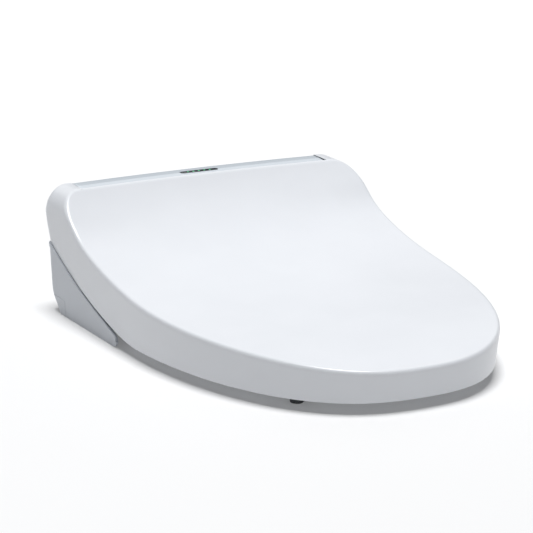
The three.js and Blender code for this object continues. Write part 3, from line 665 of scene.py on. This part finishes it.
# ---------------------------------------------------------------- case
def case_profile():
    """Side line of the case over its middle, from the front apron over the crest to the rear."""
    groove = arc(HINGE_Y, HINGE_Z, 34.4, 154, 116, 10)
    roll = arc(CASE_REAR - 4.5, CASE_TOP - 4.5, 4.5, 90, 0, 8)
    ramp = [(CASE_FRONT, SPLIT_Z), (CASE_FRONT, 44), (-104, 62), (-80, 77), (-48, 90.5), (-19, 104),
            (4, 118.5)]
    lead = rounded([*ramp, groove[0]], [0, 10, 20, 60, 60, 60, 12, 0], 8)
    crest = rounded([groove[-1], (26.2, 141), (40, CASE_TOP), roll[0]], [0, 1.2, 30, 0], 6)
    return resampled(np.vstack([lead, groove[1:-1], crest, roll[1:], [(CASE_REAR, SPLIT_Z)]]), 5.0)


REAR_HALF, REAR_TOP = 118.0, 112.0


def case_grid():
    """The case's outer sheet as a grid: profile points by stations across."""
    profile = case_profile()
    across = np.unique(np.concatenate([np.linspace(-CASE_HALF, CASE_HALF, 79), [-REAR_HALF, REAR_HALF]]))
    grid = np.zeros((len(profile), len(across), 3))
    for i, (y, z) in enumerate(profile):
        grid[i, :, 0] = across
        grid[i, :, 1] = y
        grid[i, :, 2] = z
    return bowed(grid), profile, across


def build_top_cover():
    grid, profile, across = case_grid()
    rear_rows = [i for i, (y, z) in enumerate(profile) if y > 50 and z <= REAR_TOP]
    first_rear = rear_rows[0]

    def keep(i, j):
        middle = -REAR_HALF - 0.2 < across[j] and across[j + 1] < REAR_HALF + 0.2
        return not (i >= first_rear and middle)

    made = sheet_mesh(grid, keep)
    for side in (0, -1):
        line = [grid[i, side] * MM for i in range(len(profile))]
        rim = [min(made.verts, key=lambda v, p=p: (v.co - Vector(p)).length) for p in line]
        made.faces.new(rim)
    bmesh.ops.recalc_face_normals(made, faces=made.faces)
    top = max(made.faces, key=lambda f: f.calc_center_median().z)
    if top.normal.z < 0:
        bmesh.ops.reverse_faces(made, faces=made.faces)
    cover = put("top_cover_skin", made, "main_unit", ["top_cover"], [COVER])
    soften(cover, 0.9, 3, 50, CASE_WALL)
    sink = rounded([(-24.4, 35.6), (24.4, 35.6), (24.4, 44.4), (-24.4, 44.4)], 4.3, 6, closed=True)
    cut(cover, prism(sink, 140.4, 150, "z"))
    return shade(cover)


def build_rear_cover():
    """A plate let into the rear of the case, with a grille of upright slots."""
    grid, profile, across = case_grid()
    rows = [i for i, (y, z) in enumerate(profile) if y > 50 and z <= REAR_TOP]
    inner = [j for j, x in enumerate(across) if abs(x) <= REAR_HALF + 0.01]
    patch = grid[rows[0]:, inner[0]:inner[-1] + 1].copy()
    patch[0, :, 2] -= 0.5
    patch[:, 0, 0] += 0.5
    patch[:, -1, 0] -= 0.5
    made = sheet_mesh(patch)
    bmesh.ops.recalc_face_normals(made, faces=made.faces)
    if sum(f.normal.y for f in made.faces) < 0:
        bmesh.ops.reverse_faces(made, faces=made.faces)
    cover = put("rear_cover_plate", made, "main_unit", ["rear_cover"], [CASE])
    soften(cover, 0, thickness=CASE_WALL)
    slots = bmesh.new()
    first, pitch, half, low, high = 35.7, 7, 1.7, 70, 96
    for i in range(9):
        x = first + pitch * i
        corners = [(x - half, low), (x + half, low), (x + half, high), (x - half, high)]
        outline = rounded(corners, 1.65, 4, closed=True)
        base = [slots.verts.new((u * MM, 30 * MM, v * MM)) for u, v in outline]
        pull(slots, slots.faces.new(base), (0, 0.06, 0))
    bmesh.ops.recalc_face_normals(slots, faces=slots.faces)
    cut(cover, slots)
    return soften(cover, 0.5, 2, 50)


def build_window():
    """Smoked indicator window in the top cover, with five small lamps set in its face."""
    outline = rounded([(-24, 36), (24, 36), (24, 44), (-24, 44)], 3.9, 8, closed=True)
    slab = put("indicator_window", prism(outline, 140.7, CASE_TOP, "z"), "main_unit",
               ["display_window"], [WINDOW])
    soften(slab, 0.35, 3, 50)
    for i in range(5):
        x = -14 + 7 * i
        profile = [(0, 0), (0, 1.3), (0.25, 1.25), (0.42, 0.8), (0.5, 0)]
        lens = lathe(profile, (x, 40, CASE_TOP - 0.15), (0, 0, 1), 24)
        shade(put(f"indicator_lamp_{i + 1}", lens, "main_unit", (), [LAMP]))


# ---------------------------------------------------------------- side panels
PANEL_TOP = np.array([(-133, 13.2), (-118, 18.2), (-82, 29), (-44, 41.9), (-7, 57.5), (15, 68.3),
                      (36, 80)], float)  # [y, z] points along the panel's upper edge


def panel_top(y):
    line = np.interp(y + np.linspace(-9, 9, 7), PANEL_TOP[:, 0], PANEL_TOP[:, 1])
    return float(line.mean()) if y < 24 else float(np.interp(y, PANEL_TOP[:, 0], PANEL_TOP[:, 1]))


def panel_rear(z):
    """The rear wall's y at a height: upright, then tucked in towards the bottom."""
    if z < 11.9:
        return 22 + 12.5 * max(z, 0) / 11.9
    return 26 + math.sqrt(max(0.0, 400 - max(0.0, 30 - z) ** 2))


def panel_grid():
    """The right panel's sheet: columns from the nose back and round the rear corner."""
    columns = []
    nose_y, nose_z, nose_r = -126.0, 8.5, 8.5
    for i in range(12):
        a = math.radians(180 - 90 * (1 - (1 - i / 12) ** 2))
        columns.append((HALF, nose_y + nose_r * math.cos(a)))
    columns += [(HALF, y) for y in np.linspace(nose_y, PANEL_REAR - 12, 84)]
    for i in range(1, 13):
        a = math.radians(90 * i / 12)
        columns.append((HALF - 12 + 12 * math.cos(a), PANEL_REAR - 12 + 12 * math.sin(a)))
    columns += [(x, PANEL_REAR) for x in np.linspace(HALF - 12, SEAM, 10)[1:]]
    corner_from = next(i for i, (x, _) in enumerate(columns) if x < HALF)
    wall_rows, bead_rows, top_rows = 26, 10, 10
    rows = wall_rows + bead_rows + top_rows
    grid = np.zeros((len(columns), rows, 3))
    bead, proud = 2.6, 0.8
    for i, (x, y) in enumerate(columns):
        low, high = 0.0, panel_top(min(y, 36))
        if y < nose_y:
            drop = math.sqrt(max(0.0, nose_r ** 2 - (y - nose_y) ** 2))
            low, high = nose_z - drop, nose_z + (high - nose_z) * drop / nose_r
        share = 0.0 if i < corner_from else (i - corner_from + 1) / (len(columns) - corner_from)
        out = np.array([1.0, 0.0])
        if i >= corner_from:
            turn = math.radians(90 * min(1.0, (i - corner_from + 1) / 12))
            out = np.array([math.cos(turn), math.sin(turn)])
        size = min(bead, 0.35 * (high - low))
        shoulder = high - 2 * size
        points = []
        for k in range(wall_rows):
            points.append((0.0, low + (shoulder - low) * k / (wall_rows - 1)))
        for k in range(1, bead_rows + 1):
            a = math.radians(-90 + 180 * k / bead_rows)
            points.append((proud * min(1, math.cos(a) * 1.6), high - size + size * math.sin(a)))
        for k in range(wall_rows + bead_rows):
            push, z = points[k]
            grid[i, k] = (x + out[0] * push, y + out[1] * push, z)
        target = np.array([SEAM, y if i < corner_from else PANEL_REAR - 12 + 12 * share])
        for k in range(top_rows):
            s = (k + 1) / top_rows
            at = np.array([x, y]) * (1 - s) + target * s
            grid[i, wall_rows + bead_rows + k] = (*at, high - 0.6 * math.sin(math.pi * s / 2))
    lean_from, lean = 170, 0.045
    for i in range(grid.shape[0]):
        for k in range(rows):
            x, y, z = grid[i, k]
            if y > 0:
                grid[i, k, 1] = y * panel_rear(z) / PANEL_REAR
            if x > lean_from:
                grid[i, k, 0] = x - (x - lean_from) / 20 * max(0.0, 80 - z) * lean

    def keep(i, j):
        in_front_of_slot = columns[i][1] < -119.8
        return not (in_front_of_slot and j >= wall_rows + bead_rows)

    return grid, keep


def hatch_outline(shrink):
    """The service hatch's outline on the side: flat at the bottom, one round upper front corner."""
    low, front, top = -4 + shrink, 3 + shrink, 20 - shrink
    return rounded([(front, low), (front, top), (70, top), (70, low)], [0, 5 - shrink, 0, 0], 8, closed=True)


def split_along(made, outline):
    """Cuts a sheet along each side of a convex outline of [y, z] points in mm, losing nothing."""
    points = [Vector((0, u * MM, v * MM)) for u, v in outline]
    margin = 3 * MM
    low = [min(p[k] for p in points) - margin for k in (1, 2)]
    high = [max(p[k] for p in points) + margin for k in (1, 2)]
    for a, b in zip(points, points[1:] + points[:1]):
        across = (b - a).cross(Vector((1, 0, 0)))
        if across.length > 1e-7:
            near = []
            for face in made.faces:
                x, y, z = face.calc_center_median()
                if x < -CHEEK * MM and low[0] < y < high[0] and low[1] < z < high[1]:
                    near.append(face)
            edges = {e for f in near for e in f.edges}
            parts = near + list(edges) + list({v for f in near for v in f.verts})
            bmesh.ops.bisect_plane(made, geom=parts, plane_co=a, plane_no=across)


def inside_outline(outline, y, z):
    """True where a point lies inside a convex outline."""
    turns = []
    for a, b in zip(outline, np.roll(outline, -1, axis=0)):
        if np.linalg.norm(b - a) > 1e-6:
            turns.append((b[0] - a[0]) * (z - a[1]) - (b[1] - a[1]) * (y - a[0]))
    return min(turns) > 0 or max(turns) < 0


def build_side_panel(side, word):
    grid, keep = panel_grid()
    if side < 0:
        grid = grid * (-1, 1, 1)
    made = sheet_mesh(grid, keep)
    if side < 0:
        outline = hatch_outline(0)
        split_along(made, outline)
        gone = []
        for face in made.faces:
            x, y, z = face.calc_center_median() / MM
            if x < -CHEEK and inside_outline(outline, y, z):
                gone.append(face)
        bmesh.ops.delete(made, geom=gone, context="FACES")
    bmesh.ops.recalc_face_normals(made, faces=made.faces)
    if sum(f.normal.x * f.calc_area() for f in made.faces) * side < 0:
        bmesh.ops.reverse_faces(made, faces=made.faces)
    panel = put(f"side_cover_{word}", made, "main_unit", [f"side_panel_{word}"], [CASE])
    soften(panel, 0, thickness=2.6)
    if side > 0:
        drawer = rounded([(-62.5, 5.5), (-23.5, 5.5), (-23.5, 24.5), (-62.5, 24.5)], 2, 5, closed=True)
        release = rounded([(4.5, 10.5), (21.5, 10.5), (21.5, 19.5), (4.5, 19.5)], 3, 5, closed=True)
        power = arc(20, 52, 7.5, 0, 350, 35)
        cut(panel, *[prism(outline, 175, 205, "x") for outline in (drawer, release, power)])
    return soften(panel, 0.5, 2, 50)


def build_hatch():
    """The hatch is the same wall as the left panel inside the hatch's outline, a hair smaller."""
    grid, keep = panel_grid()
    made = sheet_mesh(grid * (-1, 1, 1), keep)
    outline = [Vector((0, u * MM, v * MM)) for u, v in hatch_outline(0.45)]
    centre = sum(outline, Vector()) / len(outline)
    for a, b in zip(outline, outline[1:] + outline[:1]):
        across = (b - a).cross(Vector((1, 0, 0)))
        if across.length > 1e-7:
            across = across if across.dot(centre - a) < 0 else -across
            parts = list(made.verts) + list(made.edges) + list(made.faces)
            bmesh.ops.bisect_plane(made, geom=parts, plane_co=a, plane_no=across, clear_outer=True)
    inside = [v for v in made.verts if v.co.x > -CASE_HALF * MM - 0.0226]
    bmesh.ops.delete(made, geom=inside, context="VERTS")
    bmesh.ops.recalc_face_normals(made, faces=made.faces)
    if sum(f.normal.x * f.calc_area() for f in made.faces) > 0:
        bmesh.ops.reverse_faces(made, faces=made.faces)
    hatch = put("service_hatch_cover", made, "service_hatch", ["drain_cover"], [CASE])
    return soften(hatch, 0.5, 2, 50, 2.6)


# ---------------------------------------------------------------- seat ring
def ring_loops(count):
    ring_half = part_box("seat_lower")[1].x / MM
    nose, rear, corner = -462.0, -121.5, 20.0
    half_line = []
    for i in range(160):
        t = (math.pi / 2) * (1 - i / 160)
        half_line.append(front_curve(t, ring_half, nose))
    half_line += [(ring_half, y) for y in np.linspace(WAIST, rear - corner, 20)]
    half_line += arc(ring_half - corner, rear - corner, corner, 4, 90, 16)
    half_line += [(x, rear) for x in np.linspace(ring_half - corner, 0, 40)[1:]]
    line = np.array(half_line + [(-x, y) for x, y in half_line[-2:0:-1]])
    closed = np.vstack([line, line[:1]])
    lengths = np.concatenate([[0], np.cumsum(np.linalg.norm(np.diff(closed, axis=0), axis=1))])
    at = np.linspace(0, lengths[-1], count + 1)[:-1]
    outer = np.stack([np.interp(at, lengths, closed[:, k]) for k in (0, 1)], 1)
    a, b, power, centre = 105.0, 130.0, 2.3, -280.0
    angle = np.arctan2(outer[:, 1] - centre, outer[:, 0])
    radius = (np.abs(np.cos(angle) / a) ** power + np.abs(np.sin(angle) / b) ** power) ** (-1 / power)
    inner = np.stack([radius * np.cos(angle), centre + radius * np.sin(angle)], 1)
    return outer, inner


def ring_lift(x, y, z):
    bridge = 16 * smooth((y + 178) / 40) * smooth((135 - np.abs(x)) / 40)
    rise = 4 * smooth((y - NOSE) / 330)
    share = np.clip((z - 14) / 24.4, 0, 1)
    return share * rise + (1 - share) * bridge


def ring_sheet(section, count=280, closed=False):
    """A sheet round the ring. The section is [share across, z, shift in mm towards the opening]."""
    outer, inner = ring_loops(count)
    across = inner - outer
    width = np.linalg.norm(across, axis=1)
    rows = []
    for share, z, shift in section:
        s = share + shift / width
        at = outer + across * s[:, None]
        rows.append(np.column_stack([at, z + ring_lift(at[:, 0], at[:, 1], z)]))
    grid = np.stack(rows)
    if closed:
        grid = np.concatenate([grid, grid[:1]])
    grid = np.concatenate([grid, grid[:, :1]], axis=1)
    made = sheet_mesh(grid)
    bmesh.ops.recalc_face_normals(made, faces=made.faces)
    return made


def curve_through(points, steps):
    """A Catmull-Rom curve through the points."""
    p = np.array([points[0], *points, points[-1]], float)
    out = []
    for i in range(1, len(p) - 2):
        for k in range(steps):
            t = k / steps
            out.append(0.5 * (2 * p[i] + (p[i + 1] - p[i - 1]) * t
                              + (2 * p[i - 1] - 5 * p[i] + 4 * p[i + 1] - p[i + 2]) * t ** 2
                              + (3 * p[i] - p[i - 1] - 3 * p[i + 1] + p[i + 2]) * t ** 3))
    out.append(p[-2])
    return np.array(out)


def spray_notch():
    """A cutter for the notch under the bridge of the ring, where the nozzle comes through."""
    half, low, high, front = 11, -5, 34.5, -0.18
    corners = [(-half, low), (half, low), (half, high), (-half, high)]
    outline = rounded(corners, [0, 0, 6, 6], 6, closed=True)
    made = bmesh.new()
    face = made.faces.new([made.verts.new((u * MM, front, v * MM)) for u, v in outline])
    pull(made, face, (0, 0.065, 0))
    bmesh.ops.recalc_face_normals(made, faces=made.faces)
    return made


def build_seat():
    line = curve_through([(0, 19), (0, 24), (0.03, 30), (0.12, 35), (0.28, 37.8), (0.5, 38.3), (0.75, 35.6),
                          (0.93, 30.3), (1, 24), (1, 19)], 6)
    section = [(0, 14.2, 0), *[(s, z, 0) for s, z in line], (1, 14.2, 0)]
    made = ring_sheet(section)
    if max(made.faces, key=lambda f: f.calc_center_median().z).normal.z < 0:
        bmesh.ops.reverse_faces(made, faces=made.faces)
    upper = put("seat_top", made, "seat", ["seat_upper"], [SEAT])
    soften(upper, 0, thickness=2.6)
    cut(upper, spray_notch())
    soften(upper, 0.4, 2, 55)
    plate = [(0, 10, 1.6), (0, 10.5, 0.5), (0, 11.2, 0), (0, 13.8, 0), (1, 13.8, 0), (1, 11.2, 0),
             (1, 10.5, -0.5), (1, 10, -1.6), (0.75, 10, 0), (0.5, 10, 0), (0.25, 10, 0)]
    lower = put("seat_base", ring_sheet(plate, closed=True), "seat", ["seat_lower"], [CASE])
    cut(lower, spray_notch())
    shade(lower)


def build_arms():
    """Arms from the ring's rear corners up to the hinge, each ending in a round hub."""
    for side, word in ((-1, "left"), (1, "right")):
        under = [(-150, 22), (-135, 20), (-118, 25), (-82, 36), (-44, 49), (-7, 64.5), (15, 76), (31, 90)]
        over = [(33, 116), (10, 103), (-20, 85), (-60, 67), (-100, 54), (-126, 45), (-150, 38)]
        hub = arc(HINGE_Y, HINGE_Z, 8, -50, 130, 18)
        outline = [*rounded(under, 30, 5), *hub, *rounded(over, 30, 5)]
        low, high = sorted((side * 160, side * 176))
        arm = put(f"seat_arm_{word}", prism(outline, low, high, "x"), "seat", (), [SEAT])
        soften(arm, 1.6, 3, 50)


# ---------------------------------------------------------------- refined CAD pieces
def refine(node, body, material, width, segments=3):
    """A copy of a CAD piece with its faces merged and its edges rounded."""
    made = bmesh.new()
    made.from_mesh(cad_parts[node].data)
    bmesh.ops.remove_doubles(made, verts=made.verts, dist=1e-6)
    bmesh.ops.dissolve_limit(made, angle_limit=math.radians(0.6), verts=made.verts, edges=made.edges)
    for face in made.faces:
        face.material_index = 0
    piece = put(f"{node}_finished", made, body, [node], [material])
    return soften(piece, width, segments, 35)


def refine_all():
    main, plate = "main_unit", "mounting_plate"
    refine("bottom_case", main, CASE, 0.8)
    for word in ("front_left", "front_right", "rear_left", "rear_right"):
        refine(f"unit_foot_{word}", main, RUBBER, 1.2)
        refine(f"seat_bumper_{word}", "seat", RUBBER, 1.6)
        refine(f"lid_bumper_{word}", "lid", RUBBER, 1.0)
    for word in ("left", "right"):
        refine(f"bolt_guide_{word}", plate, DARK, 0.4)
        refine(f"hinge_pin_{word}", main, STEEL, 0.6)
    refine("base_plate", plate, INNER, 0.5)
    refine("base_pad", plate, RUBBER, 0.3)
    refine("nozzle_tip", "nozzle", STEEL, 0.4)
    refine("nozzle_wand", "nozzle", GLOSS, 0.15, 2)
    refine("drive_gear", "nozzle_gear", INNER, 0.12, 2)
    refine("dryer_flap", "air_flap", CASE, 0.4)
    refine("filter_drawer", "filter", CASE, 0.6)
    refine("release_button", "release", CASE, 0.9)
    refine("power_button", "power", CASE, 1.0)
    refine("water_inlet", main, BRASS, 0.4)
    refine("cord_gland", main, DARK, 0.6)
    refine("drain_plug", main, DARK, 0.4)
    refine("fan_impeller", "fan", INNER, 0.2, 2)


def paint_frame():
    """The pieces inside the case keep their CAD shape and get finished materials."""
    looks = {
        "heater_tank": INNER, "water_pump": DARK, "solenoid_valve": INNER, "blower_housing": DARK,
        "fan_motor": STEEL, "fan_shaft": STEEL, "air_duct": INNER, "control_board": BOARD,
        "nozzle_housing": INNER, "nozzle_motor": STEEL, "lid_damper": DARK, "seat_damper": DARK,
        "deodoriser_filter": CARBON, "seat_heater": FOIL,
    }
    for node, material in looks.items():
        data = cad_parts[node].data
        data.materials.clear()
        data.materials.append(material)


# ---------------------------------------------------------------- floor, light, camera
def build_stage():
    made = bmesh.new()
    bmesh.ops.create_grid(made, x_segments=4, y_segments=4, size=9.0)
    floor = put("floor", made)
    n = Nodes("studio_floor")
    n.link(n.ramp(n.noise(1.5), (0.735, 0.735, 0.735), (0.745, 0.745, 0.745)), "Base Color")
    n.set(Roughness=0.9, Specular_IOR_Level=0.0, Emission_Color=(1, 1, 1, 1), Emission_Strength=0.14)
    floor.data.materials.append(n.material)


def add_sun(name, strength, spread, direction, colour):
    data = bpy.data.lights.new(name, "SUN")
    data.energy = strength
    data.angle = math.radians(spread)
    data.color = colour
    lamp = bpy.data.objects.new(name, data)
    lamp.rotation_euler = Vector(direction).to_track_quat("-Z", "Y").to_euler()
    bpy.context.scene.collection.objects.link(lamp)


def add_panel(name, place, target, width, height, power):
    data = bpy.data.lights.new(name, "AREA")
    data.shape = "RECTANGLE"
    data.size, data.size_y = width, height
    data.energy = power
    lamp = bpy.data.objects.new(name, data)
    lamp.location = place
    lamp.rotation_euler = (Vector(target) - Vector(place)).to_track_quat("-Z", "Y").to_euler()
    bpy.context.scene.collection.objects.link(lamp)


def light_stage():
    world = bpy.data.worlds.new("studio")
    world.use_nodes = True
    back = world.node_tree.nodes["Background"]
    back.inputs["Color"].default_value = (0.88, 0.94, 1.0, 1)
    back.inputs["Strength"].default_value = 0.03
    bpy.context.scene.world = world
    add_sun("overhead", 3.2, 24, (0.0, 0.03, -1), (0.985, 0.99, 1.0))
    add_panel("high_back", (1.0, 2.1, 2.3), (0, -0.1, 0.1), 4.2, 2.8, 26)
    bpy.context.scene.view_settings.view_transform = "Standard"


def aim_camera():
    azimuth, elevation = math.radians(-27.74), math.radians(15.11)
    target = Vector((0.01556, -0.09896, 0.05802))
    distance = 2.901
    back = Vector((math.sin(azimuth) * math.cos(elevation), -math.cos(azimuth) * math.cos(elevation),
                   math.sin(elevation)))
    data = bpy.data.cameras.new("camera")
    data.sensor_width = 36
    data.lens = 174.2
    data.clip_end = 50
    camera = bpy.data.objects.new("camera", data)
    camera.location = target + back * distance
    camera.rotation_euler = (-back).to_track_quat("-Z", "Y").to_euler()
    bpy.context.scene.collection.objects.link(camera)
    bpy.context.scene.camera = camera


aim_camera()
build_stage()
light_stage()
build_lid()
build_lid_hubs()
build_top_cover()
build_rear_cover()
build_window()
build_side_panel(-1, "left")
build_side_panel(1, "right")
build_hatch()
build_seat()
build_arms()
refine_all()
paint_frame()
